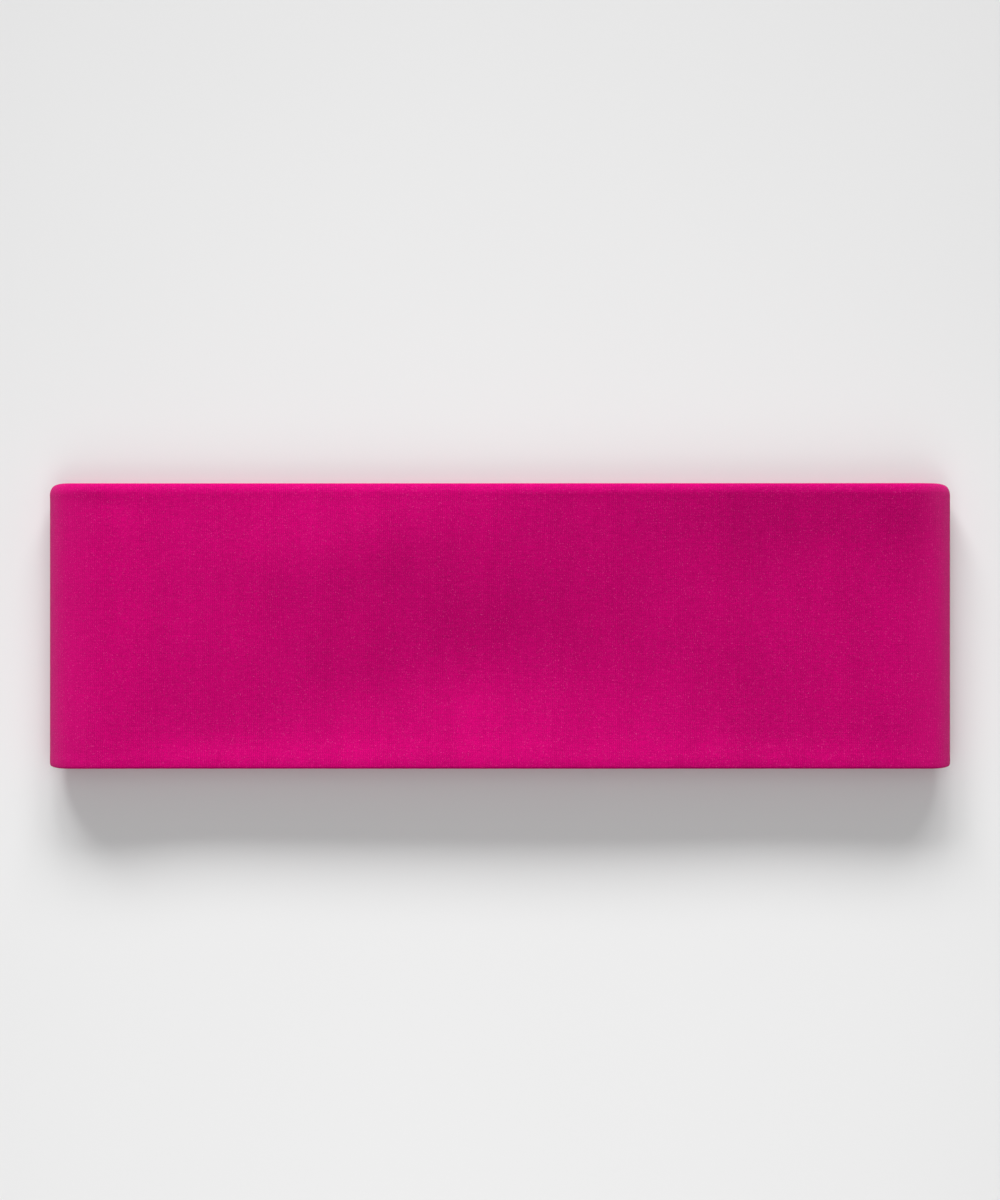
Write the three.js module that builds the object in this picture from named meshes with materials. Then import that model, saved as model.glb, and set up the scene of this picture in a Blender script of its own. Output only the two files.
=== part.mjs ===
// A wide sports headband, lying flat: a closed loop of two knit layers, folded at its left and
// right ends so that the front panel lies over the back panel.
// Millimetres. X runs along the flat band, Y across its width, Z up through its thickness.
// The origin is under the middle of the band, on the surface that it lies on.
import * as THREE from "three";

// ---- Driving dimensions ----
const FLAT_LENGTH = 222; // end fold to end fold
const BAND_WIDTH = 70.2; // long edge to long edge
const LOOP_HEIGHT = 12; // back panel's underside to front panel's top
const SHELL_THICKNESS = 0.8; // double knit of the outer shell
const LINING_THICKNESS = 0.8; // brushed knit of the lining
const RETURN_WIDTH = 5; // how far the shell turns over each long edge onto the inner face
const LINING_EDGE_GAP = 0.5; // between the lining's edge and the shell's return
const THREAD = 0.25; // thread diameter
const CLEARANCE = 0.25; // between two pieces that lie on each other
const SEAM_BITE = 1.5; // how far a stitch reaches on each side of its seam
const STITCH_LENGTH = 2.5; // along the seam, from one needle hole to the next
const SEAM_END_MARGIN = 2.2; // a back seam stops this far short of the long edges
const LABEL_LENGTH = 20; // folded length of the label, away from its seam
const LABEL_WIDTH = 12;
const LABEL_THICKNESS = 0.2; // one layer of the label's tape
const CLOSING_START = 9; // Y where the machine seam of the lining ends and the closing stitches begin

// ---- Depths, counted inwards from the outer face ----
const LAYER_SPACE = 2 * THREAD + 3 * CLEARANCE; // holds both back seams, one over the other
const INNER_LAYER = SHELL_THICKNESS + LAYER_SPACE; // where the lining and the returns begin
const WALL = INNER_LAYER + Math.max(SHELL_THICKNESS, LINING_THICKNESS);
const SHELL_SEAM_DEPTH = SHELL_THICKNESS + CLEARANCE + THREAD / 2;
const LINING_SEAM_DEPTH = INNER_LAYER - CLEARANCE - THREAD / 2;
const EDGE_SEAM_DEPTH = WALL + CLEARANCE + THREAD / 2;

// ---- Places ----
const FOLD_RADIUS = LOOP_HEIGHT / 2; // the end folds, at the outer face
const FOLD_X = FLAT_LENGTH / 2 - FOLD_RADIUS; // centre of each end fold
const BACK_GAP = 2 * LABEL_THICKNESS + 2 * CLEARANCE; // the label's tail passes between the ends
const RETURN_EDGE = BAND_WIDTH / 2 - RETURN_WIDTH;
const LINING_EDGE = RETURN_EDGE - LINING_EDGE_GAP;
const EDGE_SEAM_Y = RETURN_EDGE - LINING_EDGE_GAP / 2;
const BACK_SEAM_END = BAND_WIDTH / 2 - SEAM_END_MARGIN;

// ---- How finely the curves are cut ----
const STRAIGHT_STEPS = 3; // in each half of a panel
const FOLD_STEPS = 12; // round each end fold
const ARC_SEGMENTS = 4; // each arc of a section is cut into twice this many
const THREAD_SEGMENTS = 3; // likewise, for six sides

// ---- Finishes ----
const SHELL_KNIT = new THREE.MeshStandardMaterial({ color: 0xbd0a67, roughness: 0.72, metalness: 0 });
const LINING_KNIT = new THREE.MeshStandardMaterial({ color: 0xa30c5c, roughness: 0.9, metalness: 0 });
const SEWING_THREAD = new THREE.MeshStandardMaterial({ color: 0xc71a72, roughness: 0.55, metalness: 0 });
const LABEL_SATIN = new THREE.MeshStandardMaterial({ color: 0xe9e6e4, roughness: 0.45, metalness: 0 });

// A path through stations that are given one by one, so that each becomes one section of a sweep.
class StationPath extends THREE.Curve {
  constructor(stations) {
    super();
    this.stations = stations;
  }

  getPoint(t, target = new THREE.Vector3()) {
    const last = this.stations.length - 1;
    const place = Math.min(Math.max(t, 0), 1) * last;
    const first = Math.min(Math.floor(place), last - 1);
    return target.lerpVectors(this.stations[first], this.stations[first + 1], place - first);
  }

  // Each station keeps its own place, whatever its distance from the next one.
  getUtoTmapping(u) {
    return u;
  }
}

// A station path in the XZ plane whose sections stand upright: a section's x points out of the
// loop and its y along the band's width.
class BandPath extends StationPath {
  computeFrenetFrames(segments) {
    const across = new THREE.Vector3(0, 1, 0);
    const tangents = [];
    for (let i = 0; i <= segments; i++) {
      tangents.push(this.getTangentAt(i / segments));
    }
    const normals = tangents.map((tangent) => across.clone().cross(tangent).normalize());
    const binormals = tangents.map(() => across.clone());
    return { tangents, normals, binormals };
  }
}

// A point on the loop at a depth below the outer face. Distance is counted from the centre back,
// along the underside towards +X first.
function pointOnLoop(distance, depth) {
  const radius = FOLD_RADIUS - depth;
  const foldLength = Math.PI * radius;
  const middle = FOLD_RADIUS;
  if (distance < FOLD_X) {
    return new THREE.Vector3(distance, 0, depth);
  }
  if (distance < FOLD_X + foldLength) {
    const angle = (distance - FOLD_X) / radius;
    return new THREE.Vector3(FOLD_X + radius * Math.sin(angle), 0, middle - radius * Math.cos(angle));
  }
  if (distance < 3 * FOLD_X + foldLength) {
    return new THREE.Vector3(2 * FOLD_X + foldLength - distance, 0, LOOP_HEIGHT - depth);
  }
  if (distance < 3 * FOLD_X + 2 * foldLength) {
    const angle = (distance - 3 * FOLD_X - foldLength) / radius;
    return new THREE.Vector3(-FOLD_X - radius * Math.sin(angle), 0, middle + radius * Math.cos(angle));
  }
  return new THREE.Vector3(distance - loopLength(depth), 0, depth);
}

function loopLength(depth) {
  return 4 * FOLD_X + 2 * Math.PI * (FOLD_RADIUS - depth);
}

// The band's own path: open at the centre back, few sections along the panels, many in the folds.
function bandPath() {
  const foldLength = Math.PI * FOLD_RADIUS;
  const length = loopLength(0);
  const stretches = [
    [BACK_GAP / 2, FOLD_X, STRAIGHT_STEPS],
    [FOLD_X, FOLD_X + foldLength, FOLD_STEPS],
    [FOLD_X + foldLength, 3 * FOLD_X + foldLength, 2 * STRAIGHT_STEPS],
    [3 * FOLD_X + foldLength, 3 * FOLD_X + 2 * foldLength, FOLD_STEPS],
    [3 * FOLD_X + 2 * foldLength, length - BACK_GAP / 2, STRAIGHT_STEPS],
  ];
  const stations = [pointOnLoop(BACK_GAP / 2, 0)];
  for (const [start, end, steps] of stretches) {
    for (let i = 1; i <= steps; i++) {
      stations.push(pointOnLoop(start + ((end - start) * i) / steps, 0));
    }
  }
  return new BandPath(stations);
}

function sweep(section, path) {
  const steps = path.stations.length - 1;
  return new THREE.ExtrudeGeometry(section, { steps, extrudePath: path, curveSegments: ARC_SEGMENTS });
}

// The shell's section: the outer face, a rolled fold at each long edge, and a return on the inside.
function outerShell() {
  const rollRadius = SHELL_THICKNESS + LAYER_SPACE / 2;
  const rollY = BAND_WIDTH / 2 - rollRadius;
  const inside = -SHELL_THICKNESS;
  const returnInside = -INNER_LAYER - SHELL_THICKNESS;
  const section = new THREE.Shape();
  section.moveTo(0, -rollY);
  section.lineTo(0, rollY);
  section.absarc(-rollRadius, rollY, rollRadius, 0, Math.PI, false);
  section.lineTo(returnInside, RETURN_EDGE);
  section.lineTo(-INNER_LAYER, RETURN_EDGE);
  section.lineTo(-INNER_LAYER, rollY);
  section.absarc(-rollRadius, rollY, LAYER_SPACE / 2, Math.PI, 0, true);
  section.lineTo(inside, -rollY);
  section.absarc(-rollRadius, -rollY, LAYER_SPACE / 2, 0, Math.PI, true);
  section.lineTo(-INNER_LAYER, -RETURN_EDGE);
  section.lineTo(returnInside, -RETURN_EDGE);
  section.lineTo(returnInside, -rollY);
  section.absarc(-rollRadius, -rollY, rollRadius, Math.PI, 2 * Math.PI, false);
  return sweep(section, bandPath());
}

// The lining lies between the returns, level with them.
function lining() {
  const section = new THREE.Shape();
  section.moveTo(-INNER_LAYER, -LINING_EDGE);
  section.lineTo(-INNER_LAYER, LINING_EDGE);
  section.lineTo(-INNER_LAYER - LINING_THICKNESS, LINING_EDGE);
  section.lineTo(-INNER_LAYER - LINING_THICKNESS, -LINING_EDGE);
  return sweep(section, bandPath());
}

function threadAlong(stations) {
  const section = new THREE.Shape();
  section.absarc(0, 0, THREAD / 2, 0, 2 * Math.PI, false);
  const path = new StationPath(stations);
  const steps = stations.length - 1;
  return new THREE.ExtrudeGeometry(section, { steps, extrudePath: path, curveSegments: THREAD_SEGMENTS });
}

// A zigzag all the way round the inner face, over the joint of the lining and one return.
function edgeSeam(seamY) {
  const length = loopLength(EDGE_SEAM_DEPTH);
  const legs = 2 * Math.round(length / STITCH_LENGTH / 2) - 1;
  const stations = [];
  for (let i = 0; i <= legs; i++) {
    const distance = (length * (i + 0.5)) / (legs + 1);
    const point = pointOnLoop(distance, EDGE_SEAM_DEPTH);
    point.y = seamY + (i % 2 ? SEAM_BITE : -SEAM_BITE);
    stations.push(point);
  }
  return threadAlong(stations);
}

// A zigzag over the gap between two ends at the centre back.
function backZigzag(startY, endY, depth) {
  const legs = Math.max(2, Math.round((endY - startY) / STITCH_LENGTH));
  const stations = [];
  for (let i = 0; i <= legs; i++) {
    const y = startY + ((endY - startY) * i) / legs;
    stations.push(new THREE.Vector3(i % 2 ? SEAM_BITE : -SEAM_BITE, y, depth));
  }
  return threadAlong(stations);
}

// Ladder stitches, worked by hand: across the gap, along one edge, back across, along the other.
function closingStitches() {
  const start = CLOSING_START + STITCH_LENGTH / 2;
  const rungs = Math.floor((BACK_SEAM_END - start) / STITCH_LENGTH) + 1;
  const stations = [];
  for (let i = 0; i < rungs; i++) {
    const y = start + i * STITCH_LENGTH;
    const side = i % 2 ? SEAM_BITE : -SEAM_BITE;
    stations.push(new THREE.Vector3(side, y, LINING_SEAM_DEPTH));
    stations.push(new THREE.Vector3(-side, y, LINING_SEAM_DEPTH));
  }
  return threadAlong(stations);
}

// A blank tape folded in two. Its tail stands in the lining's back seam, and the folded part lies
// on the lining. The section is drawn in X and Z and given its width along Y.
function careLabel() {
  const bottom = WALL + CLEARANCE;
  const height = 2 * LABEL_THICKNESS + CLEARANCE;
  const top = bottom + height;
  const tail = LABEL_THICKNESS; // half of the tail's two layers
  const foldX = LABEL_LENGTH - height / 2;
  const section = new THREE.Shape();
  section.moveTo(-tail, INNER_LAYER);
  section.lineTo(tail, INNER_LAYER);
  section.lineTo(tail, bottom);
  section.lineTo(foldX, bottom);
  section.absarc(foldX, bottom + height / 2, height / 2, -Math.PI / 2, Math.PI / 2, false);
  section.lineTo(-tail, top);
  const space = new THREE.Path();
  space.moveTo(tail, bottom + LABEL_THICKNESS);
  space.lineTo(foldX, bottom + LABEL_THICKNESS);
  space.absarc(foldX, bottom + height / 2, CLEARANCE / 2, -Math.PI / 2, Math.PI / 2, false);
  space.lineTo(tail, top - LABEL_THICKNESS);
  section.holes.push(space);
  const label = new THREE.ExtrudeGeometry(section, {
    depth: LABEL_WIDTH,
    bevelEnabled: false,
    curveSegments: ARC_SEGMENTS,
  });
  label.rotateX(Math.PI / 2); // section height to +Z, width to -Y
  label.translate(0, LABEL_WIDTH / 2, 0);
  return label;
}

function piece(name, geometry, material) {
  const mesh = new THREE.Mesh(geometry, material);
  mesh.name = name;
  return mesh;
}

const headband = new THREE.Group();
headband.add(
  piece("outer_shell", outerShell(), SHELL_KNIT),
  piece("lining", lining(), LINING_KNIT),
  piece("upper_lining_seam", edgeSeam(EDGE_SEAM_Y), SEWING_THREAD),
  piece("lower_lining_seam", edgeSeam(-EDGE_SEAM_Y), SEWING_THREAD),
  piece("shell_back_seam", backZigzag(-BACK_SEAM_END, BACK_SEAM_END, SHELL_SEAM_DEPTH), SEWING_THREAD),
  piece("lining_back_seam", backZigzag(-BACK_SEAM_END, CLOSING_START, LINING_SEAM_DEPTH), SEWING_THREAD),
  piece("closing_stitches", closingStitches(), SEWING_THREAD),
  piece("care_label", careLabel(), LABEL_SATIN),
);

export default headband;
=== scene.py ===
# %% [markdown]
# # A wide knit headband, lying flat
#
# The object is a closed loop of two knit layers. It lies with its front panel over its back panel:
# the left and right ends are folds of the loop, and the long edges are rolls, where the outer
# knit turns over onto the inside. This lesson builds it piece by piece: the outer knit, the
# lining, the rows of stitches that hold them together, and the tape label.
#
# Every piece is laid along the same loop, so the first cells read the loop's measures from the
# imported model, and write the one function that all pieces are placed with.

# %% Load the frame
import math

import bpy
import numpy as np
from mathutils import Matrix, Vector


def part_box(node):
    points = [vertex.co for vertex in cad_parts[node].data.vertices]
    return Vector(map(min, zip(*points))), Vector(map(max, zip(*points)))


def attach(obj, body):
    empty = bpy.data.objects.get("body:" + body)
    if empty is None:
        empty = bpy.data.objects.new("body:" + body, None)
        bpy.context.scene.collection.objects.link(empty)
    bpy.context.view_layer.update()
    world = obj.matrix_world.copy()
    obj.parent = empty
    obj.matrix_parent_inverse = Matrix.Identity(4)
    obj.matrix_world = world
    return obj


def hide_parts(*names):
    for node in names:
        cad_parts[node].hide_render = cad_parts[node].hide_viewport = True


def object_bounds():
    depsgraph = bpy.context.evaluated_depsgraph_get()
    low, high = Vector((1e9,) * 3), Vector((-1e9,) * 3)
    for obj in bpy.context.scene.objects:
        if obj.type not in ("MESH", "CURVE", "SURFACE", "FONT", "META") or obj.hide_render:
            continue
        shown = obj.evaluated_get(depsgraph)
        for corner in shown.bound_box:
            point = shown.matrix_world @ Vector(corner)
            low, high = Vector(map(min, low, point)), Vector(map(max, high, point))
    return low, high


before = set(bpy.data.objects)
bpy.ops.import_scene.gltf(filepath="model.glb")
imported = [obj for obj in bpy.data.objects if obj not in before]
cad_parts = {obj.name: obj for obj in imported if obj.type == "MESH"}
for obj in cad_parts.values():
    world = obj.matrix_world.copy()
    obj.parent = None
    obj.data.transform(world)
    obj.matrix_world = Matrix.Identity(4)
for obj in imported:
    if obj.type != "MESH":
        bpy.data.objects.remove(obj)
cad_low, cad_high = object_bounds()
BODY = "root"
MM = 0.001
print(len(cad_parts), "nodes, box", [round(x / MM, 2) for x in (*cad_low, *cad_high)], "mm")

# %% [markdown]
# The band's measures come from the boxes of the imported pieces, and only the knit's own thickness
# is given here. Depth is counted inwards from the outer face of the loop: 0 is the face that
# shows, and the lining's inner face is the deepest.

# %% Read the measures
LENGTH = cad_high.x - cad_low.x
WIDTH = cad_high.y - cad_low.y
HEIGHT = cad_high.z - cad_low.z
FOLD_RADIUS = HEIGHT / 2
FOLD_X = LENGTH / 2 - FOLD_RADIUS
FOLD_LENGTH = math.pi * FOLD_RADIUS
LOOP = 4 * FOLD_X + 2 * FOLD_LENGTH

lining_low, lining_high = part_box("lining")
seam_low, seam_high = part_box("upper_lining_seam")
label_low, label_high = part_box("care_label")

KNIT = 0.8 * MM  # thickness of either layer
INNER_LAYER = lining_low.z - cad_low.z
WALL = INNER_LAYER + KNIT
ROLL_RADIUS = WALL / 2
ROLL_Y = WIDTH / 2 - ROLL_RADIUS
SEAM_Y = (seam_low.y + seam_high.y) / 2
SEAM_BITE = (seam_high.y - seam_low.y) / 2
print(f"loop {LOOP / MM:.0f} mm round, wall {WALL / MM:.2f} mm, lining seam at {SEAM_Y / MM:.2f} mm")


# %% [markdown]
# ## Laying a point on the loop
#
# A point of the band has three plain coordinates: how far along the loop it is, how far across
# the width, and how deep under the outer face. `lay` bends them into the flattened loop: straight
# along the table, round the right fold, back over the top, round the left fold, and home again.
# Because every piece goes through it, a crease or swell that is put in here is put into all of
# them, and they stay clear of each other.

# %% Swells of the front panel
# Each swell is a long low mound or hollow: centre x and y, half length, half width and height in
# millimetres, and the turn of its long side in degrees.
SWELLS = [
    (-30, -18, 30, 12, -1.7, 14),
    (10, -12, 30, 14, -2.4, 2),
    (66, -26, 22, 13, -1.4, 0),
    (-34, 21, 22, 8, 1.3, 12),
    (90, 38, 40, 11, 2.2, 0),
    (-103, -36, 9, 16, 1.1, 0),
    (-76, -28, 15, 11, -1.0, 0),
    (10, -38, 34, 7, 0.4, 0),
    (34, 40, 26, 9, 0.8, 0),
    (70, 10, 16, 12, -0.6, 0),
    (94, -14, 14, 9, 0.3, 0),
    (105, 36, 8, 9, 1.2, 0),
    (-98, 29.5, 9, 2.0, -0.2, -5),
]
SWELL_FADE = 9 * MM  # the swells die away over this length before an end fold
FOLD_TIP = 0.5 * MM  # and are gone this far from the end
LOWER_HOLD = 0.35  # how much of a swell the pressed lower edge holds down
LOWER_START, LOWER_FADE = 8 * MM, 7 * MM  # from this far from the edge, over this length


def smooth(t):
    """0 below 0, 1 above 1, and a soft step in between."""
    t = np.clip(t, 0, 1)
    return t * t * (3 - 2 * t)


def swell(x, y):
    """Height of the front panel's swells over the flat panel, in metres."""
    total = np.zeros(np.broadcast(x, y).shape)
    for cx, cy, long, wide, height, turn in SWELLS:
        c, s = math.cos(math.radians(turn)), math.sin(math.radians(turn))
        dx, dy = x - cx * MM, y - cy * MM
        along, beside = (c * dx + s * dy) / (long * MM), (c * dy - s * dx) / (wide * MM)
        total += height * MM * np.exp(-(along**2 + beside**2) / 2)
    ends = smooth((LENGTH / 2 - FOLD_TIP - np.abs(x)) / SWELL_FADE)
    lower_edge = 1 - LOWER_HOLD * smooth((-y - WIDTH / 2 + LOWER_START) / LOWER_FADE)
    return total * ends * lower_edge


panel = swell(*np.meshgrid(np.linspace(-LENGTH, LENGTH, 201) / 2, np.linspace(-WIDTH, WIDTH, 101) / 2))
print(f"{len(SWELLS)} swells, from {panel.min() / MM:.1f} to {panel.max() / MM:.1f} mm")

# %% Lay points along the loop
SHOULDER = 0.45 * MM  # how much lower the front panel is where it meets an end fold
SHOULDER_LENGTH = 13 * MM
PULL_IN = 0.5 * MM  # how much narrower the band is at the middle of an end fold


def lay(along, across, depth):
    """Where points of the band are, from how far along, across and deep they lie, in metres."""
    along, across, depth = np.broadcast_arrays(along, across, depth)
    radius = FOLD_RADIUS - depth
    first = np.clip((along - FOLD_X) / FOLD_RADIUS, 0, math.pi)
    second = np.clip((along - 3 * FOLD_X - FOLD_LENGTH) / FOLD_RADIUS, 0, math.pi)
    angle = first + second
    on_table = np.clip(along, None, FOLD_X) + np.clip(along - LOOP + FOLD_X, 0, None)
    over = np.clip(along - FOLD_X - FOLD_LENGTH, 0, 2 * FOLD_X)
    x = on_table - over + radius * np.sin(angle)
    z = FOLD_RADIUS - radius * np.cos(angle)
    front = (1 - np.cos(angle)) / 2
    shoulder = 1 - smooth((LENGTH / 2 - np.abs(x)) / SHOULDER_LENGTH)
    z = z + front * (swell(x, across) - SHOULDER * shoulder)
    narrower = PULL_IN * np.sin(angle) ** 4
    across = across * (1 - narrower / (WIDTH / 2))
    return np.stack([x, across, z], axis=-1)


print("front panel's middle is at", (lay(LOOP / 2, 0.0, 0.0) / MM).round(2), "mm")

# %% [markdown]
# ## Cloth as a grid
#
# Both layers are strips of knit. A strip is a grid: stations along the loop, and a section across
# the width. The section is a line of points with the direction that faces out of the cloth, so
# one function can push any point in or out of the surface: a lip turned into a seam, a ridge
# along a rolled edge, or a pucker. The grid carries its flat measures as a UV map, which keeps
# the knit at its real gauge round every fold.


# %% Sections and stations
def spaced(start, end, step):
    """Evenly spaced numbers from start to end, both included, about a step apart."""
    return np.linspace(start, end, max(2, round(abs(end - start) / step) + 1))


def joined(*runs):
    """Several runs end to end, without the doubled points where they meet."""
    return np.concatenate([runs[0]] + [run[1:] for run in runs[1:]])


LIP_RADIUS = 0.9 * MM  # how tightly an end turns into its seam
LIP_GAP = 0.05 * MM  # half of what stays open between two lips
LIP_POINTS = 7
PUCKERED = 8 * MM  # the part beside the back seam that needs closer sections
STEP, FOLD_STEP, PUCKER_STEP = 1.5 * MM, 0.6 * MM, 0.5 * MM  # between two sections


def stations():
    """Places along the loop for the sections of a strip whose ends meet at the centre back."""
    puckered = spaced(LIP_GAP + LIP_RADIUS, PUCKERED, PUCKER_STEP)
    back = spaced(PUCKERED, FOLD_X, STEP)
    fold = spaced(FOLD_X, FOLD_X + FOLD_LENGTH, FOLD_STEP)
    half = joined(puckered, back, fold, spaced(FOLD_X + FOLD_LENGTH, LOOP / 2, STEP))
    return joined(half, (LOOP - half)[::-1])


def with_lips(along, tuck):
    """Adds the turned-in ends to the stations. Returns the places and how far each is tucked in."""
    turn = np.linspace(0, math.pi / 2, LIP_POINTS)[:-1]
    lip_along = LIP_GAP + LIP_RADIUS * (1 - np.cos(turn))
    lip_tuck = LIP_RADIUS * (1 - np.sin(turn))
    deep_tuck = np.linspace(tuck, LIP_RADIUS, 3)[:-1] if tuck > LIP_RADIUS else np.empty(0)
    deep_along = np.full(len(deep_tuck), LIP_GAP)
    start_along = np.concatenate([deep_along, lip_along])
    start_tuck = np.concatenate([deep_tuck, lip_tuck])
    places = np.concatenate([start_along, along, LOOP - start_along[::-1]])
    tucked = np.concatenate([start_tuck, np.zeros(len(along)), start_tuck[::-1]])
    return places, tucked


print("a strip has", len(stations()), "sections between its lips")

# %% The outer knit's section
UPPER_REACH = 2.6 * MM  # how far the upper roll curves in over the face
LOWER_REACH = ROLL_RADIUS  # the lower edge is pressed into a tighter roll
LOWER_POWER = 0.42  # 1 is a round roll, less is squarer
EDGE_ZONE = 6 * MM  # the part of the face beside an edge that needs closer points
FACE_STEP, EDGE_STEP, RETURN_STEP = 1.7 * MM, 0.4 * MM, 0.5 * MM  # between two points
ROLL_POINTS = 23
SEAM_GAP = 0.05 * MM  # half of what stays open between a return and the lining


def edge_section(reach, power):
    """From the middle over one roll to the seam: across, depth, and the way out of the cloth."""
    zone = WIDTH / 2 - EDGE_ZONE
    face = joined(spaced(0, zone, FACE_STEP), spaced(zone, WIDTH / 2 - reach, EDGE_STEP))
    back = spaced(ROLL_Y, SEAM_Y + SEAM_GAP, RETURN_STEP)
    turn = np.linspace(0, math.pi, ROLL_POINTS)
    outer = turn <= math.pi / 2
    powers, spans = np.where(outer, power, 1.0), np.where(outer, reach, ROLL_RADIUS)
    sine, cosine = np.abs(np.sin(turn)) ** powers, np.abs(np.cos(turn)) ** powers
    roll_across = WIDTH / 2 - spans * (1 - sine)
    roll_depth = ROLL_RADIUS * (1 - np.sign(np.cos(turn)) * cosine)
    across, depth = joined(face, roll_across, back), joined(0 * face, roll_depth, 0 * back + WALL)
    out_across = joined(0 * face, np.sin(turn), 0 * back)
    out_depth = joined(0 * face - 1, -np.cos(turn), 0 * back + 1)
    return across, depth, out_across, out_depth


def shell_section():
    """The outer knit's whole section, from the lower seam round both rolls to the upper seam."""
    upper, lower = edge_section(UPPER_REACH, 1.0), edge_section(LOWER_REACH, LOWER_POWER)
    signs = (-1, 1, -1, 1)
    return tuple(joined(sign * low[::-1], high) for sign, low, high in zip(signs, lower, upper))


print("shell section:", len(shell_section()[0]), "points across the cloth")


# %% Turn a grid into a piece of cloth
def cloth_mesh(name, points, flat_along, flat_across):
    """A mesh from a grid of points (stations, section, 3), with its flat measures as a UV map."""
    rows, columns = points.shape[:2]
    index = np.arange(rows * columns).reshape(rows, columns)
    faces = np.stack([index[:-1, :-1], index[:-1, 1:], index[1:, 1:], index[1:, :-1]], axis=-1)
    mesh = bpy.data.meshes.new(name)
    mesh.from_pydata(points.reshape(-1, 3).tolist(), [], faces.reshape(-1, 4).tolist())
    flat = np.stack(np.meshgrid(flat_along, flat_across, indexing="ij"), axis=-1).reshape(-1, 2)
    corners = np.empty(len(mesh.loops), dtype=np.int32)
    mesh.loops.foreach_get("vertex_index", corners)
    mesh.uv_layers.new(name="cloth").data.foreach_set("uv", flat[corners].astype(np.float32).ravel())
    mesh.shade_smooth()
    piece = bpy.data.objects.new(name, mesh)
    bpy.context.scene.collection.objects.link(piece)
    return piece


def apply_modifiers(piece):
    """Makes what the modifiers show into the piece's own mesh."""
    evaluated = piece.evaluated_get(bpy.context.evaluated_depsgraph_get())
    mesh = bpy.data.meshes.new_from_object(evaluated)
    piece.modifiers.clear()
    piece.data = mesh
    return piece


def thicken(piece, thickness):
    """Gives the sheet its thickness, on the side away from its face."""
    solid = piece.modifiers.new("thickness", "SOLIDIFY")
    solid.thickness = thickness
    solid.offset = -1
    solid.use_rim = True
    return apply_modifiers(piece)


def arc_length(across, depth):
    """Distance along a section, counted from its middle."""
    steps = np.hypot(np.diff(across), np.diff(depth))
    run = np.concatenate([[0], np.cumsum(steps)])
    return run - run[-1] / 2


print(f"the outer knit measures {np.ptp(arc_length(*shell_section()[:2])) / MM:.1f} mm across")

# %% [markdown]
# ## The outer knit
#
# One strip of smooth double knit. Its long edges aren't hemmed: the band was sewn inside out as a
# tube and turned, so each edge is a roll. The upper roll is soft and curves in over the face, and
# the lower one is pressed tighter. Neither stands equally proud all along, since steam and fingers
# shaped them. At the centre back the two ends turn inwards and meet in a seam.


# %% Unevenness of the rolled edges
UPPER_RIDGE, UPPER_UNEVEN = 0.08 * MM, 0.06 * MM  # the ridge beside the upper edge
LOWER_RIDGE, LOWER_UNEVEN = 0.05 * MM, 0.03 * MM  # and beside the lower one
RIDGE_FROM_EDGE, RIDGE_WIDTH = 2.0 * MM, 1.3 * MM
RIDGE_WAVES = ((167, 0.4), (71, 2.1), (39, 4.4))
PUCKER_DEPTH, PUCKER_REACH = 0.09 * MM, 4.5 * MM
PUCKER_WAVES = ((5.3, 0.3), (3.7, 1.9))


def waves(x, parts):
    """A slow wave from (wavelength in mm, phase) parts. Between about -1 and 1."""
    return sum(np.sin(2 * math.pi * x / (length * MM) + phase) for length, phase in parts) / len(parts)


def edge_relief(along, across):
    """How far the front panel's face stands out near a long edge, in metres."""
    from_edge = WIDTH / 2 - np.abs(across)
    uneven = waves(along, RIDGE_WAVES)
    upper, lower = UPPER_RIDGE + UPPER_UNEVEN * uneven, LOWER_RIDGE + LOWER_UNEVEN * uneven
    height = np.where(across > 0, upper, lower)
    on_front = smooth((along - FOLD_X) / FOLD_LENGTH) * smooth((LOOP - FOLD_X - along) / FOLD_LENGTH)
    return on_front * height * np.exp(-(((from_edge - RIDGE_FROM_EDGE) / RIDGE_WIDTH) ** 2))


def seam_puckers(along, across):
    """Small gathers on both sides of the centre-back seam, in metres."""
    beside = np.minimum(along, LOOP - along)
    return PUCKER_DEPTH * np.exp(-((beside / PUCKER_REACH) ** 2)) * (waves(across, PUCKER_WAVES) - 1)


print(f"deepest pucker {-seam_puckers(0.0, np.linspace(-WIDTH, WIDTH, 300) / 2).min() / MM:.2f} mm")


# %% Make the outer knit
SHELL_TUCK = 1.5 * MM  # how deep its ends are turned in at the centre back


def make_shell():
    along, tucked = with_lips(stations(), SHELL_TUCK)
    across, depth, out_across, out_depth = shell_section()
    s, y = along[:, None], across[None, :]
    on_face = (depth < ROLL_RADIUS)[None, :]
    out = np.where(on_face, edge_relief(s, y) + seam_puckers(s, y), 0) - tucked[:, None]
    points = lay(s, y + out * out_across[None, :], depth[None, :] + out * out_depth[None, :])
    piece = cloth_mesh("shell_cloth", points, along, arc_length(across, depth))
    return thicken(piece, KNIT)


shell = make_shell()
print("outer knit:", len(shell.data.polygons), "faces")

# %% [markdown]
# ## The lining
#
# A strip of brushed knit between the two returns of the outer knit. Its edges dip into the seams
# on both sides. It is made as its inner face, which touches the head, and gets its thickness
# outwards.


# %% Make the lining
LINING_TUCK = 0.9 * MM
LINING_EDGE = SEAM_Y - SEAM_GAP
EDGE_DIP, DIP_WIDTH = 0.36 * MM, 1.1 * MM  # how an edge sinks towards its seam
CROWN, CROWN_WIDTH = 0.12 * MM, 4 * MM  # how the middle stands up from there
DIP_ZONE = 3 * MM
MIDDLE_STEP, DIP_STEP = 1.4 * MM, 0.3 * MM  # between two points


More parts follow.
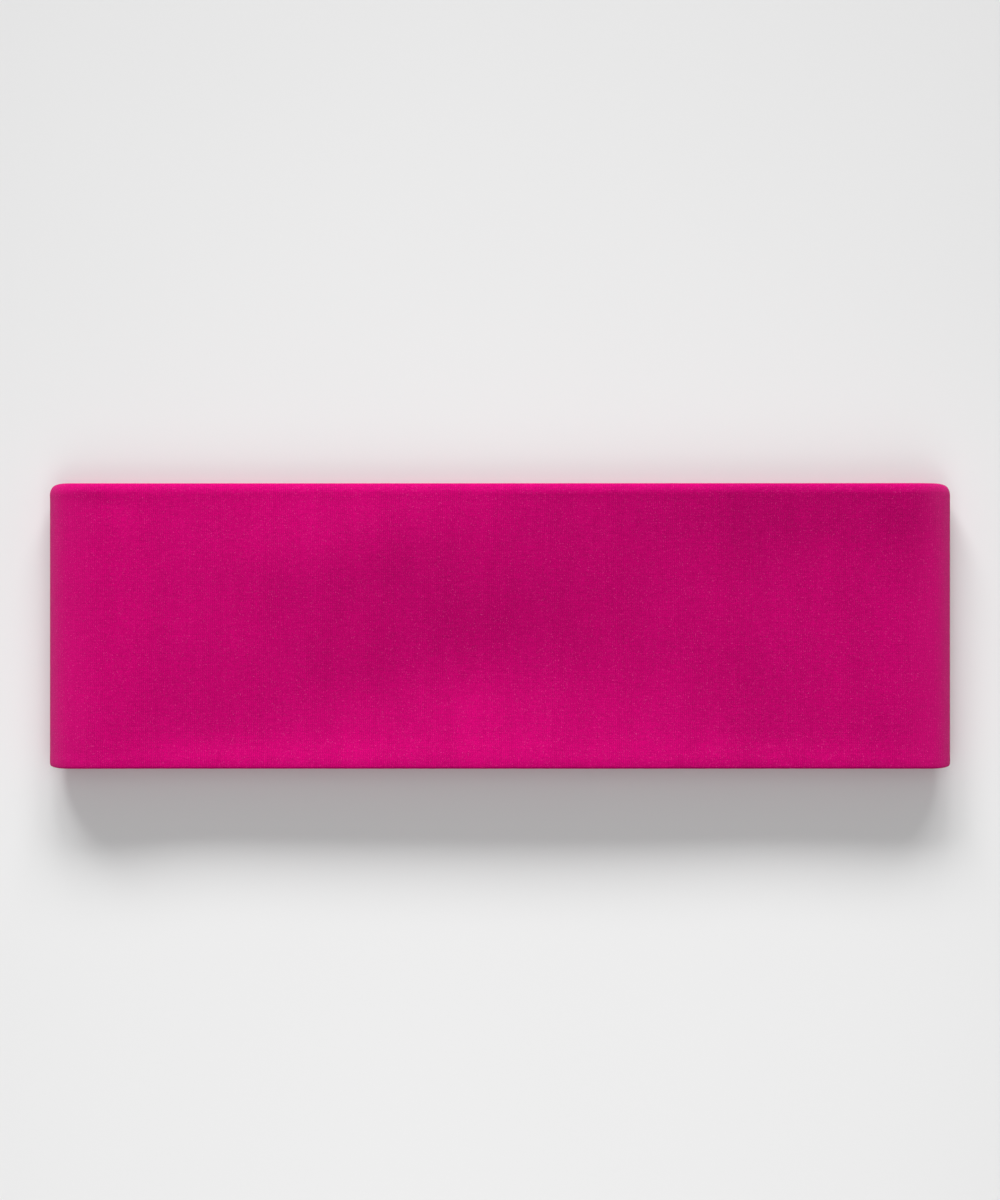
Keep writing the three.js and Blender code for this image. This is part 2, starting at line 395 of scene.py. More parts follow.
def make_lining():
    along, tucked = with_lips(stations(), LINING_TUCK)
    zone = LINING_EDGE - DIP_ZONE
    half = joined(spaced(0, zone, MIDDLE_STEP), spaced(zone, LINING_EDGE, DIP_STEP))
    across = joined(-half[::-1], half)
    from_edge = LINING_EDGE - np.abs(across)
    dip = EDGE_DIP * np.exp(-((from_edge / DIP_WIDTH) ** 2))
    depth = WALL + CROWN * smooth(from_edge / CROWN_WIDTH) - dip
    s = along[:, None]
    points = lay(s, across[None, :], depth[None, :] - tucked[:, None])
    points = points[:, ::-1]  # the face looks into the loop
    piece = cloth_mesh("lining_cloth", points, along, -across)
    return thicken(piece, KNIT)


lining = make_lining()
print("lining:", len(lining.data.polygons), "faces")

# %% [markdown]
# ## Writing shaders as sums
#
# A knit is a height that repeats, and a height is easiest to write as a formula. `add_node` makes
# any node, here and in the stitch tree. `Value` wraps a number that varies over the surface and
# turns `a * b + c` into Math nodes.


# %% Any node
def add_node(tree, kind, settings=None, inputs=None):
    """Adds a node: its settings are set first, then each input is linked or given its value."""
    made = tree.nodes.new(kind)
    for key, value in (settings or {}).items():
        setattr(made, key, value)
    for key, value in (inputs or {}).items():
        if isinstance(value, bpy.types.NodeSocket):
            tree.links.new(value, made.inputs[key])
        else:
            made.inputs[key].default_value = value
    return made


# %% Numbers that vary over a surface
class Value:
    """An output socket that holds a number. Arithmetic on it adds Math nodes."""

    def __init__(self, finish, socket):
        self.finish, self.socket = finish, socket

    def math(self, operation, *others):
        inputs = {0: self, **dict(enumerate(others, 1))}
        return self.finish.value("ShaderNodeMath", {"operation": operation}, inputs)

    def __add__(self, other):
        return self.math("ADD", other)

    def __mul__(self, other):
        return self.math("MULTIPLY", other)

    def __sub__(self, other):
        return self.math("SUBTRACT", other)

    def __rsub__(self, other):
        return (self * -1.0).math("ADD", other)

    def __pow__(self, other):
        return self.math("POWER", other)

    __radd__, __rmul__ = __add__, __mul__

    def fraction(self):
        return self.math("FRACT")

    def size(self):
        return self.math("ABSOLUTE")

    def sine(self):
        return self.math("SINE")

    def at_least(self, low):
        return self.math("MAXIMUM", low)

    def step(self, start, end):
        """0 at start, 1 at end, and a soft rise between them."""
        settings = {"interpolation_type": "SMOOTHSTEP"}
        inputs = {"Value": self, "From Min": start, "From Max": end}
        return self.finish.value("ShaderNodeMapRange", settings, inputs)


# %% [markdown]
# `Finish` holds one material: it reads the cloth's flat measures, makes any other node, and ends
# in one shader. A number that is the same all over is set on the shader itself.


# %% One material
class Finish:
    """One material on a Principled shader. Constants go straight onto the shader's sockets."""

    def __init__(self, name, **constants):
        self.material = bpy.data.materials.new(name)
        self.material.use_nodes = True
        self.tree = self.material.node_tree
        self.shader = self.tree.nodes["Principled BSDF"]
        for socket, value in constants.items():
            self.shader.inputs[socket.replace("_", " ")].default_value = value

    def node(self, kind, settings=None, inputs=None):
        sockets = {key: getattr(value, "socket", value) for key, value in (inputs or {}).items()}
        return add_node(self.tree, kind, settings, sockets)

    def value(self, kind, settings=None, inputs=None, output=0):
        return Value(self, self.node(kind, settings, inputs).outputs[output])

    def flat_measures(self):
        """The cloth's own measures in millimetres: along the band, and across it."""
        uv = self.value("ShaderNodeUVMap", {"uv_map": "cloth"}, output="UV")
        apart = self.node("ShaderNodeSeparateXYZ", inputs={"Vector": uv})
        return Value(self, apart.outputs[0]) * (1 / MM), Value(self, apart.outputs[1]) * (1 / MM)

    def place(self, along, across, depth=0.0):
        return self.value("ShaderNodeCombineXYZ", inputs={0: along, 1: across, 2: depth})

    def noise(self, vector, per_mm, detail=2.0, roughness=0.5):
        inputs = {"Vector": vector, "Scale": per_mm, "Detail": detail, "Roughness": roughness}
        return self.value("ShaderNodeTexNoise", {"noise_dimensions": "3D"}, inputs, output="Fac")

    def mix(self, share, first, second):
        """A colour between two colours."""
        first, second = (each if isinstance(each, Value) else (*each, 1.0) for each in (first, second))
        inputs = {0: share, 6: first, 7: second}
        return self.value("ShaderNodeMix", {"data_type": "RGBA"}, inputs, output=2)

    def bump(self, height, distance, strength=1.0, below=None):
        inputs = {"Height": height, "Distance": distance, "Strength": strength}
        if below is not None:
            inputs["Normal"] = below
        return self.value("ShaderNodeBump", None, inputs)

    def feed(self, **links):
        for socket, value in links.items():
            self.tree.links.new(value.socket, self.shader.inputs[socket.replace("_", " ")])
        return self.material


# %% [markdown]
# ## The outer knit's finish
#
# The outer layer is an interlock, a double knit that shows the same smooth face on both sides:
# columns of small V-shaped loops, called wales, that run across the band, a wale every half
# millimetre. Each V is two legs that lean away from the column's middle. The height formula below
# draws them from the flat measures. The colour is a deep raspberry, a little uneven from the dye,
# with painted shade down between the legs, a painted sheen that makes it paler round the end
# folds, and painted glints on a few fibres.

# %% Finish of the outer knit
WALE = 0.5  # millimetres from one column of loops to the next
COURSE = 0.42  # millimetres from one row of loops to the next
LEAN = 0.9  # how far a leg leans from the column's middle to its edge, in courses
WANDER = 0.35  # how far a column strays from its line, in wales
GUTTER = 0.45  # how deep the furrow between two columns is


def knit_height(finish, along, across, wale, course):
    """Height of V-shaped loops: 1 on a leg, 0 between a V's legs, and lower between two columns."""
    wander = (finish.noise(finish.place(along * 0.25, across * 0.05), 1.0) - 0.5) * WANDER
    column = (along * (1 / wale) + wander).fraction()
    from_middle = (column - 0.5).size() * 2.0
    leg = (from_middle * math.pi).sine().at_least(0.0)
    row = (across * (1 / course) + from_middle * LEAN).fraction()
    loop = (row * math.pi).sine().at_least(0.0) ** 0.6
    return leg * (loop * 0.6 + 0.4) - from_middle.step(0.7, 1.0) * GUTTER


print(f"knit: {10 / WALE:.0f} wales and {10 / COURSE:.0f} courses in a centimetre")

# %% [markdown]
# A dye never takes evenly, and yarn isn't even either. So the formula's height, which paints shade
# down between the legs and the columns, is only a part of the share that chooses between the dark
# and the light pink. The rest is noise at five sizes, slow drifts of the dye, patches, streaks
# along the columns and rows, and a fine grain, and one slow painted light round the loop, lighter
# towards the left end fold and darker towards the right one. Each has its weight in the sum.

# %% Colour of the outer knit
# Painted shade: the dark pink stands both for the dye's darker side and for shade painted down between
# the legs and the columns.
DARK_DYE_AND_GAP_SHADE = (0.33, 0.0006, 0.086)
LOOPS = (0.825, 0.0021, 0.219)
# Painted sheen: a paler, greyer pink painted round the middle of each end fold, where the cloth turns
# away from the view.
FOLD_SHEEN = (0.605, 0.008, 0.173)
# Painted glints: a few scattered fibres are painted bright, as if they caught the light.
PAINTED_GLINTS = (0.95, 0.09, 0.40)
FOLD_SHEEN_SHARE, FOLD_SHEEN_REACH = 0.6, 19.0  # most at a fold's middle, none this many millimetres away
GLINT_STRENGTH = 0.55  # how much they show


def interlock_finish(name, **constants):
    finish = Finish(name, **constants)
    along, across = finish.flat_measures()
    height = knit_height(finish, along, across, WALE, COURSE)
    here = finish.place(along, across)
    dye = finish.noise(here, 0.045, detail=3.0)
    grain = finish.noise(here, 3.6, detail=2.0)
    patches = finish.noise(here, 1.1, detail=3.0, roughness=0.6)
    uneven_columns = finish.noise(finish.place(along * 1.3, across * 0.06), 1.0)
    uneven_rows = finish.noise(finish.place(along * 0.3, across * 1.5, 3.0), 1.0)
    # Painted light: a slow sine round the loop makes the band lighter towards its left end fold and
    # darker towards its right one.
    painted_side_light = ((along - LOOP / 2 / MM) * (2 * math.pi / (LOOP / MM))).sine()
    # The height's part of the share paints shade down between the legs and between the columns.
    share = height * 0.45 + grain * 0.7 + patches * 0.22 + uneven_columns * 0.13 + uneven_rows * 0.2
    share = share + (dye - 0.5) * 0.18 + painted_side_light * 0.04
    colour = finish.mix(share.step(0.46, 1.21), DARK_DYE_AND_GAP_SHADE, LOOPS)
    # Painted sheen round each end fold, strongest at the fold's middle.
    from_fold = ((along * (2 * MM / LOOP)).fraction() - 0.5).size() * (LOOP / 2 / MM)
    fold_sheen = FOLD_SHEEN_SHARE - from_fold.step(1.0, FOLD_SHEEN_REACH) * FOLD_SHEEN_SHARE
    colour = finish.mix(fold_sheen, colour, FOLD_SHEEN)
    # Painted glints on scattered fibres.
    spark = finish.noise(finish.place(along * 1.3, across, 7.0), 3.1, detail=1.0).step(0.6, 0.85)
    colour = finish.mix(spark * GLINT_STRENGTH, colour, PAINTED_GLINTS)
    soft = finish.bump(finish.noise(here, 0.35, detail=3.0), 0.12 * MM, 0.5)
    normal = finish.bump(height + grain * 1.1, 0.07 * MM, 1.0, below=soft)
    return finish.feed(Base_Color=colour, Normal=normal)


shell_knit = interlock_finish(
    "raspberry_interlock",
    Roughness=0.75,
    Specular_IOR_Level=0.02,
    Sheen_Weight=0.14,
    Sheen_Roughness=0.3,
    Sheen_Tint=(1.0, 0.4, 0.7, 1.0),
)
shell.data.materials.append(shell_knit)
print("outer knit finish:", len(shell_knit.node_tree.nodes), "nodes")

# %% [markdown]
# The lining is brushed: its loops are teased into a short, matt pile, so the columns only just
# show through a fleecy grain, and it has more sheen at a glancing angle than the outer knit.


# %% Finish of the lining
LINING_WALE, LINING_COURSE = 0.8, 0.7  # in millimetres
UNDER_THE_PILE = (0.27, 0.001, 0.075)
PILE = (0.47, 0.006, 0.14)


def brushed_finish():
    finish = Finish(
        "brushed_lining",
        Roughness=0.95,
        Specular_IOR_Level=0.02,
        Sheen_Weight=0.16,
        Sheen_Roughness=0.5,
        Sheen_Tint=(1.0, 0.25, 0.55, 1.0),
    )
    along, across = finish.flat_measures()
    here = finish.place(along, across)
    columns = knit_height(finish, along, across, LINING_WALE, LINING_COURSE)
    tufts = finish.noise(here, 1.1, detail=4.0, roughness=0.7)
    strokes = finish.noise(finish.place(along * 0.15, across), 0.4, detail=2.0)
    pile = tufts * 0.7 + columns * 0.3
    share = (pile + (strokes - 0.5) * 0.6).step(0.2, 0.8)
    colour = finish.mix(share, UNDER_THE_PILE, PILE)
    return finish.feed(Base_Color=colour, Normal=finish.bump(pile, 0.16 * MM, 0.8))


lining_knit = brushed_finish()
lining.data.materials.append(lining_knit)
print("lining finish:", len(lining_knit.node_tree.nodes), "nodes")

# %% [markdown]
# ## Rows of stitches
#
# Sewing thread is three strands twisted together. A seam is the same short stitch over and over:
# the thread rises out of one needle hole, lies over the cloth and dives into the next. The script
# lays out only the needle holes, as one short edge for each stitch. A Geometry Nodes tree does
# the rest: it turns each edge into a curve, arches it, twists a three-lobed section along it, and
# skins it.


# %% The stitch tree and its inputs
THREAD_RADIUS = 0.125 * MM
ARCH = 0.16 * MM  # how far a stitch rises from its needle holes
TWIST_LENGTH = 1.1 * MM  # along the thread, for one turn of its strands
UNEVENNESS = 0.2  # how much one stitch's arch differs from another's
STITCHES = bpy.data.node_groups.new("stitches", "GeometryNodeTree")


def add_socket(label, kind, value=None, in_out="INPUT"):
    made = STITCHES.interface.new_socket(label, in_out=in_out, socket_type=kind)
    if value is not None:
        made.default_value = value


add_socket("Geometry", "NodeSocketGeometry")
add_socket("Thread Radius", "NodeSocketFloat", THREAD_RADIUS)
add_socket("Arch", "NodeSocketFloat", ARCH)
add_socket("Twist Length", "NodeSocketFloat", TWIST_LENGTH)
add_socket("Unevenness", "NodeSocketFloat", UNEVENNESS)
add_socket("Seed", "NodeSocketInt", 3)
add_socket("Thread", "NodeSocketMaterial")
add_socket("Geometry", "NodeSocketGeometry", in_out="OUTPUT")
GIVEN = add_node(STITCHES, "NodeGroupInput").outputs
print("stitch tree takes:", [socket.name for socket in GIVEN if socket.name])


# %% [markdown]
# A stitch is highest at its middle and sinks into the cloth at both needle holes, so its rise is a
# sine that is raised to a power and lowered a little. The stitch's number seeds how high it goes.
# The tilt turns the thread's section as it runs along, which twists the strands.


# %% Arch and twist the thread
def geometry(kind, inputs=None, settings=None, output=0):
    """One output of a new node in the stitch tree."""
    return add_node(STITCHES, kind, settings, inputs).outputs[output]


def maths(operation, first, second=0.0):
    return geometry("ShaderNodeMath", {0: first, 1: second}, {"operation": operation})


def along_line(output):
    return geometry("GeometryNodeSplineParameter", output=output)


def stored(name, kind):
    settings = {"data_type": kind}
    return geometry("GeometryNodeInputNamedAttribute", {"Name": name}, settings, "Attribute")


def arched(lines):
    wave = maths("SINE", maths("MULTIPLY", along_line("Factor"), math.pi))
    arch = maths("SUBTRACT", maths("POWER", wave, 0.7), 0.35)
    inputs = {2: -1.0, 3: 1.0, "Seed": GIVEN["Seed"], "ID": stored("stitch", "INT")}
    chance = geometry("FunctionNodeRandomValue", inputs, {"data_type": "FLOAT"}, output=1)
    uneven = maths("ADD", maths("MULTIPLY", chance, GIVEN["Unevenness"]), 1.0)
    rise = maths("MULTIPLY", maths("MULTIPLY", arch, GIVEN["Arch"]), uneven)
    up = {0: stored("up", "FLOAT_VECTOR"), "Scale": rise}
    lift = geometry("ShaderNodeVectorMath", up, {"operation": "SCALE"})
    return geometry("GeometryNodeSetPosition", {0: lines, "Offset": lift})


def twisted(lines):
    turns = maths("DIVIDE", along_line("Length"), GIVEN["Twist Length"])
    tilt = maths("MULTIPLY", turns, 2 * math.pi)
    return geometry("GeometryNodeSetCurveTilt", {0: lines, "Tilt": tilt})


# %% Skin the thread
STRANDS = 3
LOBE = 0.16  # how far a strand stands out of the thread, as a share of its radius
NARROWER = 0.95  # the ring's middle radius, so that the lobes don't make the thread thicker
ARC_POINTS, RING_POINTS = 13, 12  # along one stitch, and round the thread


def lobed_ring():
    """The thread's section: a circle with one lobe for each strand."""
    size = {"Resolution": RING_POINTS, "Radius": GIVEN["Thread Radius"]}
    ring = geometry("GeometryNodeCurvePrimitiveCircle", size)
    lobes = maths("SINE", maths("MULTIPLY", along_line("Factor"), 2 * math.pi * STRANDS))
    wider = maths("ADD", maths("MULTIPLY", lobes, LOBE), NARROWER)
    place = {0: geometry("GeometryNodeInputPosition"), "Scale": wider}
    lobed = geometry("ShaderNodeVectorMath", place, {"operation": "SCALE"})
    return geometry("GeometryNodeSetPosition", {0: ring, "Position": lobed})


lines = geometry("GeometryNodeMeshToCurve", {0: GIVEN["Geometry"]})
lines = geometry("GeometryNodeResampleCurve", {0: lines, "Count": ARC_POINTS})
lines = twisted(arched(lines))
skin = geometry("GeometryNodeCurveToMesh", {0: lines, 1: lobed_ring(), "Fill Caps": True})
skin = geometry("GeometryNodeSetShadeSmooth", {0: skin})
skin = geometry("GeometryNodeRealizeInstances", {0: skin})
skin = geometry("GeometryNodeSetMaterial", {0: skin, "Material": GIVEN["Thread"]})
add_node(STITCHES, "NodeGroupOutput", None, {0: skin})
print("stitch tree:", len(STITCHES.nodes), "nodes")

# %% [markdown]
# The thread itself is bright polyester. Its finish has a fine grain of fibres and a soft shine,
# and it is a little lighter than the knit it sews.


# %% Finish of the thread
def thread_finish():
    finish = Finish(
        "pink_sewing_thread",
        Roughness=0.5,
        Specular_IOR_Level=0.2,
        Sheen_Weight=0.15,
        Sheen_Roughness=0.4,
        Sheen_Tint=(1.0, 0.7, 0.85, 1.0),
    )
    where = finish.value("ShaderNodeTexCoord", output="Object")
    fibre = finish.noise(where, 9000.0, detail=2.0)
    shade = finish.noise(where, 420.0, detail=1.0)
    share = (fibre * 0.6 + shade * 0.4).step(0.3, 0.7)
    colour = finish.mix(share, (0.42, 0.004, 0.12), (0.72, 0.02, 0.25))
    return finish.feed(Base_Color=colour, Normal=finish.bump(fibre, 0.02 * MM, 0.6))


thread = thread_finish()
print("thread finish:", len(thread.node_tree.nodes), "nodes")

# %% [markdown]
# A seam is a list of needle-hole pairs, and for each pair the direction away from the cloth. The
# tree's inputs are found by their names once, but set by the sockets' identifiers, before the
# object is first evaluated.


# %% Sew a row of stitches
def sew(name, starts, ends, ups, **sizes):
    """One piece with a stitch from each start to each end, arched along each up direction."""
    count = len(starts)
    points = np.stack([starts, ends], axis=1).reshape(-1, 3)
    mesh = bpy.data.meshes.new(name)
    mesh.from_pydata(points.tolist(), [(2 * i, 2 * i + 1) for i in range(count)], [])
    up = mesh.attributes.new("up", "FLOAT_VECTOR", "POINT")
    up.data.foreach_set("vector", np.repeat(ups, 2, axis=0).astype(np.float32).ravel())
    number = mesh.attributes.new("stitch", "INT", "POINT")
    number.data.foreach_set("value", np.repeat(np.arange(count), 2).astype(np.int32))
    piece = bpy.data.objects.new(name, mesh)
    bpy.context.scene.collection.objects.link(piece)
    rule = piece.modifiers.new("stitches", "NODES")
    rule.node_group = STITCHES
    inputs = [item for item in STITCHES.interface.items_tree if item.in_out == "INPUT"]
    sockets = {item.name: item.identifier for item in inputs}
    for label, value in {"Thread": thread, **sizes}.items():
        rule[sockets[label]] = value
    apply_modifiers(piece)
    piece.data.name = name
    return piece


def away(along, across, depth):
    """The direction out of the cloth at a depth, into the loop."""
    step = lay(along, across, depth + 0.1 * MM) - lay(along, across, depth)
    return step / np.linalg.norm(step, axis=-1, keepdims=True)


# %% Sew the two seams of the lining
STITCH = 2.5 * MM  # along the seam, from one needle hole to the next
FIRST_HOLE = 1.4 * MM  # from the back seam
HOLE_DEPTH = WALL + 0.05 * MM  # the thread lies this deep, just over the lining


def needle_places():
    """Evenly spaced needle holes round the inner face, as places along the outer face."""
    inner_fold = math.pi * (FOLD_RADIUS - WALL)
    inner = np.cumsum([0, FOLD_X, inner_fold, 2 * FOLD_X, inner_fold, FOLD_X])
    outer = np.cumsum([0, FOLD_X, FOLD_LENGTH, 2 * FOLD_X, FOLD_LENGTH, FOLD_X])
    return np.interp(spaced(FIRST_HOLE, inner[-1] - FIRST_HOLE, STITCH), inner, outer)


def edge_seam(name, middle, seed):
    """A zigzag over the joint of the lining and one return of the outer knit."""
    along = needle_places()
    side = np.where(np.arange(len(along)) % 2, 1.0, -1.0)
    across = middle + side * (SEAM_BITE - THREAD_RADIUS)
    holes, ups = lay(along, across, HOLE_DEPTH), away(along, across, HOLE_DEPTH)
    return sew(name, holes[:-1], holes[1:], ups[:-1] + ups[1:], Seed=seed)


upper_seam = edge_seam("upper_seam_thread", SEAM_Y, 3)
lower_seam = edge_seam("lower_seam_thread", -SEAM_Y, 4)
print("lining seams:", [len(seam.data.polygons) for seam in (upper_seam, lower_seam)], "faces")

# %% [markdown]
# At the centre back the two ends of each layer are sewn lip to lip. What shows of those seams is
# a row of short bars down in the groove. The outer knit's row faces the table, and the lining's
# row faces into the loop. Its last part is closed by hand once the band has been turned right
# side out, with slanting stitches a little further apart.


# %% Sew the back seams
BAR_REACH = 0.62 * MM  # how far a bar goes to either side of the groove
BAR_ARCH = 0.1 * MM
MACHINE = {"slant": 0.25 * MM, "pitch": 1.6 * MM}
BY_HAND = {"slant": 0.8 * MM, "pitch": 2.5 * MM}
SHELL_BARS, LINING_BARS, CLOSING_BARS = 0.34 * MM, WALL - 0.3 * MM, WALL - 0.22 * MM  # their depths
DOWN, UP = -1.0, 1.0


def back_seam(name, node, depth, facing, slant, pitch, seed):
    """Bars over the groove at the centre back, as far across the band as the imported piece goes."""
    low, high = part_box(node)
    middle = spaced(low.y, high.y, pitch)
    starts = lay(np.full(len(middle), BAR_REACH), middle - slant, depth)
    ends = lay(np.full(len(middle), LOOP - BAR_REACH), middle + slant, depth)
    ups = np.tile([0.0, 0.0, facing], (len(middle), 1))
    return sew(name, starts, ends, ups, Seed=seed, Arch=BAR_ARCH)


shell_seam = back_seam("shell_back_thread", "shell_back_seam", SHELL_BARS, DOWN, seed=5, **MACHINE)
lining_seam = back_seam("lining_back_thread", "lining_back_seam", LINING_BARS, UP, seed=6, **MACHINE)
closing = back_seam("closing_thread", "closing_stitches", CLOSING_BARS, UP, seed=7, **BY_HAND)
print("back seams:", [len(seam.data.polygons) for seam in (shell_seam, lining_seam, closing)], "faces")

# %% [markdown]
# ## The tape label
#
# A blank satin tape, folded in two and caught in the lining's back seam by its two ends. Satin is
# woven so that long threads float on the face, so it shines across the tape in fine ribs. The
# label springs up a little from the lining, as a folded tape does.

# %% The tape's path
TAPE = 0.14 * MM  # its thickness
TAIL_X = 0.13 * MM  # each tail hangs this far from the middle of the back seam
TAIL_Z = INNER_LAYER + 0.1 * MM
FLOOR_Z = WALL + 0.22 * MM  # the lower half rests at this height
TAIL_TURN = 1.2 * MM  # where the tails have turned level
FOLD_BACK = 1.0 * MM  # the fold starts this far from the label's end
SPRING = 0.35 * MM  # how far the label's middle lifts
GAP, TAIL_GAP = 0.55 * MM, 0.2 * MM  # between the halves, at the fold and at the tails
TAIL_POINTS, TURN_POINTS, FOLD_POINTS, TAPE_STEP = 4, 6, 9, 0.5 * MM


def tape_path():
    """The label's line in x and z: up from one tail, out, round the fold, back and down again."""
    below = spaced(TAIL_TURN, label_high.x - FOLD_BACK, TAPE_STEP)
    spring = SPRING * np.sin(math.pi * below / label_high.x)
    bend = np.linspace(0, math.pi / 2, TURN_POINTS)[:-1]
    turn = np.linspace(-math.pi / 2, math.pi / 2, FOLD_POINTS)[1:-1]
    radius = TAIL_TURN - TAIL_X
    tail_z = np.linspace(TAIL_Z, FLOOR_Z - radius * 0.4, TAIL_POINTS)
    fold_z = FLOOR_Z + spring[-1] + GAP / 2
    close = smooth((below - 0.5 * MM) / (9 * MM))
    upper_z = FLOOR_Z + spring + TAIL_GAP + (GAP - TAIL_GAP) * close
    last_x = (radius + 2 * TAIL_X) * (1 - np.cos(bend)) - TAIL_X
    runs = [
        (0 * tail_z + TAIL_X, tail_z),
        (TAIL_TURN - radius * np.cos(bend), FLOOR_Z - radius * 0.4 * (1 - np.sin(bend))),
        (below, FLOOR_Z + spring),
        (below[-1] + 1.5 * GAP * np.cos(turn), fold_z + GAP / 2 * np.sin(turn)),
        (below[::-1], upper_z[::-1]),
        (last_x[::-1], (upper_z[0] - radius * 0.6 * (1 - np.sin(bend)))[::-1]),
        (0 * tail_z - TAIL_X, tail_z[::-1]),
    ]
    x, z = (np.concatenate([run[i] for run in runs]) for i in (0, 1))
    apart = np.concatenate([[True], np.hypot(np.diff(x), np.diff(z)) > 0.02 * MM])
    return x[apart], z[apart]


print("tape path:", len(tape_path()[0]), "points")

# %% Make the label
DROOP = 0.12 * MM  # how far its long edges hang
DROOP_START = 8 * MM  # fully, from this far out


def make_label():
    x, z = tape_path()
    y = spaced(label_low.y, label_high.y, 1.0 * MM)
    droop = DROOP * ((y / label_high.y) ** 2)[None, :] * smooth(x / DROOP_START)[:, None]
    points = np.stack(np.broadcast_arrays(x[:, None], y[None, :], z[:, None] - droop), axis=-1)
    length = arc_length(x, z)
    piece = cloth_mesh("label_tape", points[:, ::-1], length, -y)
    return thicken(piece, TAPE), np.ptp(length)


label, tape_length = make_label()
print(f"label: a tape of {tape_length / MM:.1f} mm, {len(label.data.polygons)} faces")


# %% Finish of the tape
FLOAT_PITCH, STEP_PITCH = 0.22, 0.35  # millimetres between two ribs, and between two steps of the weave


def satin_finish():
    finish = Finish(
        "off_white_satin",
        Roughness=0.38,
        Specular_IOR_Level=0.35,
        Sheen_Weight=0.1,
        Anisotropic=0.5,
    )
    along, across = finish.flat_measures()
    floats = (across * (2 * math.pi / FLOAT_PITCH)).sine() * 0.5 + 0.5
    steps = (along * (1 / STEP_PITCH) + across * 0.9).fraction()
    weave = floats * 0.6 + (steps * math.pi).sine() * 0.4
    cloudy = finish.noise(finish.place(along, across), 0.25, detail=3.0)
    share = (weave * 0.6 + cloudy * 0.5).step(0.2, 0.9)
    colour = finish.mix(share, (0.66, 0.63, 0.61), (0.83, 0.81, 0.79))
    return finish.feed(Base_Color=colour, Normal=finish.bump(weave, 0.02 * MM, 0.7))


label.data.materials.append(satin_finish())
print("label finish:", len(label.data.materials[0].node_tree.nodes), "nodes")

# %% [markdown]
# ## Joining the model
#
# Nothing on a headband moves against anything else, so every piece rides on the one body, and the
# imported solid that it stands for is hidden. Each row of the list names a piece, that imported
# solid, and a finish of the record. The outer knit's cut width is measured along its modelled
# section, and the allowances that are hidden in the seams are left out.

# %% Ride and replace
PIECES = [
    (shell, "outer_shell", "shell_knit"),
    (lining, "lining", "lining_knit"),
    (upper_seam, "upper_lining_seam", "sewing_thread"),
    (lower_seam, "lower_lining_seam", "sewing_thread"),
    (shell_seam, "shell_back_seam", "sewing_thread"),
    (lining_seam, "lining_back_seam", "sewing_thread"),
    (closing, "closing_stitches", "sewing_thread"),
    (label, "care_label", "label_satin"),
]
for piece, node, slot in PIECES:
    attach(piece, BODY)
    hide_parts(node)

shell_cut = float(np.ptp(arc_length(*shell_section()[:2])))

# %% [markdown]
# ## Table, light and camera
#
# The band lies on a pale table, whose colour is painted with a broad pool of light just in front
# of the band. A wide lamp stands low behind its upper long edge, stronger on its left side. It
# draws a soft shadow towards the viewer's side and lights the rolled upper edge. A large lamp
# overhead, a weak one on the viewer's side and the pale room fill the rest.
# The camera looks straight down from far away.


# %% The table
TABLE_HALF = 3.0
TABLE_Z = -0.02 * MM  # a hair under the band, so that the two faces don't flicker
# Painted light: the table's colour is lighter in a broad pool round this place and darker away from it.
LIGHT_POOL_X, LIGHT_POOL_Y = -0.01, -0.1  # the table is brightest in a broad pool round this place
LIGHT_POOL_LENGTH, LIGHT_POOL_WIDTH = 0.21, 0.33


def make_table():
    corners = [(-1, -1), (1, -1), (1, 1), (-1, 1)]
    mesh = bpy.data.meshes.new("table")
    mesh.from_pydata([(x * TABLE_HALF, y * TABLE_HALF, TABLE_Z) for x, y in corners], [], [(0, 1, 2, 3)])
    table = bpy.data.objects.new("table", mesh)
    bpy.context.scene.collection.objects.link(table)
    finish = Finish("pale_table", Roughness=0.9, Specular_IOR_Level=0.05)
    where = finish.value("ShaderNodeTexCoord", output="Object")
    apart = finish.node("ShaderNodeSeparateXYZ", inputs={"Vector": where}).outputs
    along = (Value(finish, apart[0]) - LIGHT_POOL_X) * (1 / LIGHT_POOL_LENGTH)
    across = (Value(finish, apart[1]) - LIGHT_POOL_Y) * (1 / LIGHT_POOL_WIDTH)
    from_brightest = along**2 + across**2
    # Painted light: the pool, with slow blotches on top.
    tone = from_brightest.step(-0.3, 1.6) + finish.noise(where, 9.0, detail=1.0) * 0.15
    mesh.materials.append(finish.feed(Base_Color=finish.mix(tone, (0.82, 0.82, 0.82), (0.7, 0.7, 0.7))))


make_table()
print(f"table: {2 * TABLE_HALF:.0f} m across")

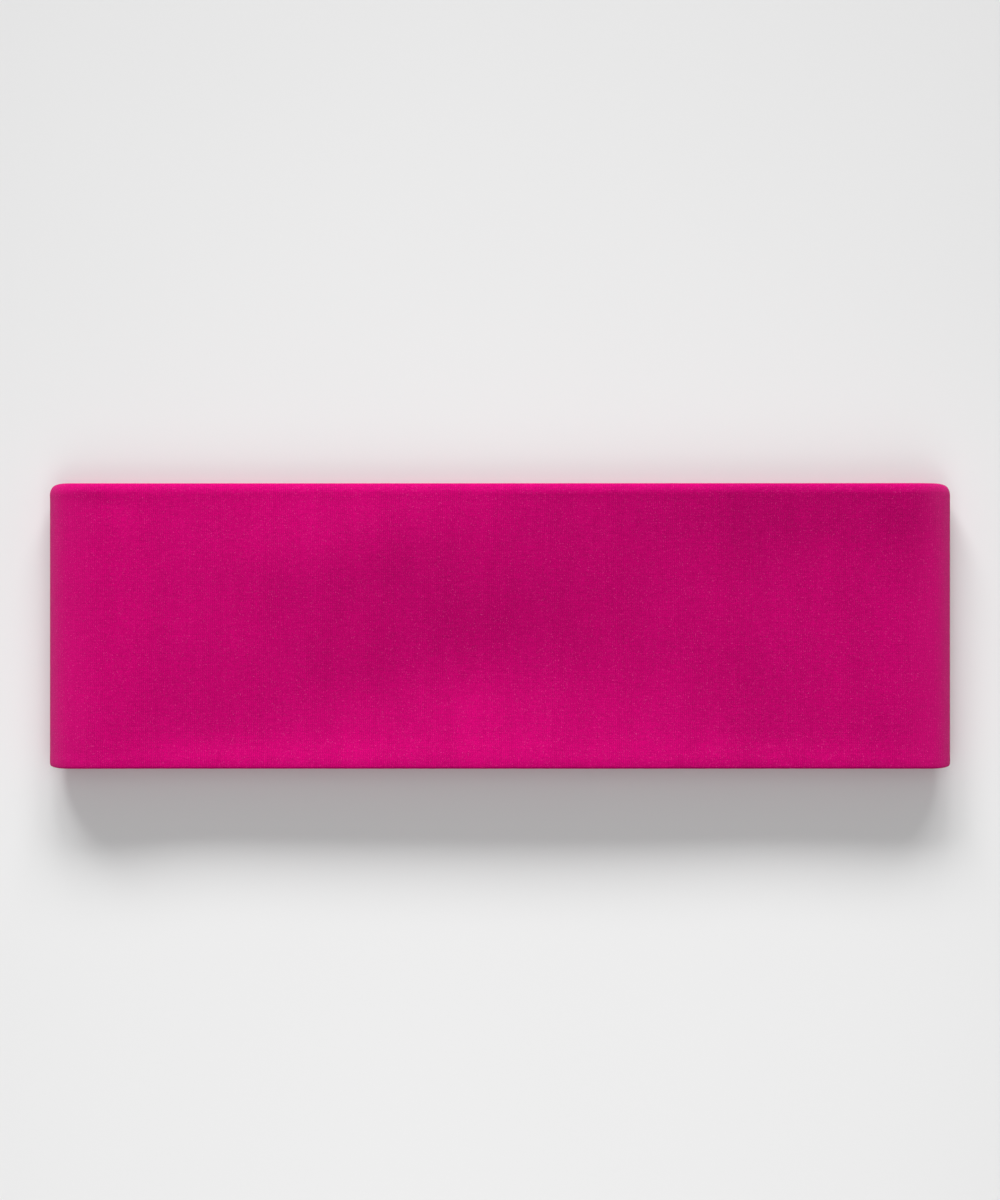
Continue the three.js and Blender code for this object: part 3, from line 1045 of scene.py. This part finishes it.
# %% The lamps
KEY_HEIGHT = math.radians(23.5)  # the key lamp above the horizon
KEY_TURN = math.radians(2)  # and how far it stands to the left
KEY_SPREAD = math.radians(17)  # how tall it looks from the table
KEY_FAN = math.radians(19)  # it is a wide lamp, made of three that stand this far apart
KEY_STRENGTHS = (1.15, 1.4, 1.6)  # from right to left
TOP = {"strength": 0.7, "spread": math.radians(60), "tilt": math.radians(4)}  # large, overhead
FRONT = {"strength": 0.3, "spread": math.radians(40), "tilt": math.radians(38)}  # the viewer's side
ROOM = 0.24  # the pale room's own light


def add_sun(name, strength, spread, tilt, turn=0.0):
    lamp = bpy.data.lights.new(name, "SUN")
    lamp.energy, lamp.angle = strength, spread
    sun = bpy.data.objects.new(name, lamp)
    sun.rotation_euler = (tilt, 0, turn)
    bpy.context.scene.collection.objects.link(sun)


def make_lights():
    for side, strength in zip((-1, 0, 1), KEY_STRENGTHS):
        turn = KEY_TURN + side * KEY_FAN
        add_sun(f"key_{side + 1}", strength, KEY_SPREAD, KEY_HEIGHT - math.pi / 2, turn)
    add_sun("top", **TOP)
    add_sun("front", **FRONT)
    world = bpy.data.worlds.new("room")
    world.use_nodes = True
    world.node_tree.nodes["Background"].inputs["Color"].default_value = (1, 1, 1, 1)
    world.node_tree.nodes["Background"].inputs["Strength"].default_value = ROOM
    bpy.context.scene.world = world


make_lights()
bpy.context.scene.view_settings.view_transform = "Standard"
print("lamps:", [item.name for item in bpy.data.lights])

# %% The camera
CAMERA_DISTANCE = 1.5  # metres over the front panel
BAND_SHARE = 0.75  # the band's length, as a share of the frame's long side
LOOKS_PAST = 6.4 * MM  # the camera stands this far behind the band's middle
SENSOR = 36  # millimetres, along the frame's long side


def make_camera():
    data = bpy.data.cameras.new("camera")
    data.sensor_width = SENSOR
    data.lens = SENSOR * (CAMERA_DISTANCE + FOLD_RADIUS) * BAND_SHARE / LENGTH
    data.clip_start, data.clip_end = 0.01, 20
    camera = bpy.data.objects.new("camera", data)
    camera.location = (0, LOOKS_PAST, HEIGHT + CAMERA_DISTANCE)
    bpy.context.scene.collection.objects.link(camera)
    bpy.context.scene.camera = camera
    return camera


camera = make_camera()
print(f"camera: {camera.data.lens:.0f} mm lens at {camera.location.z:.2f} m")
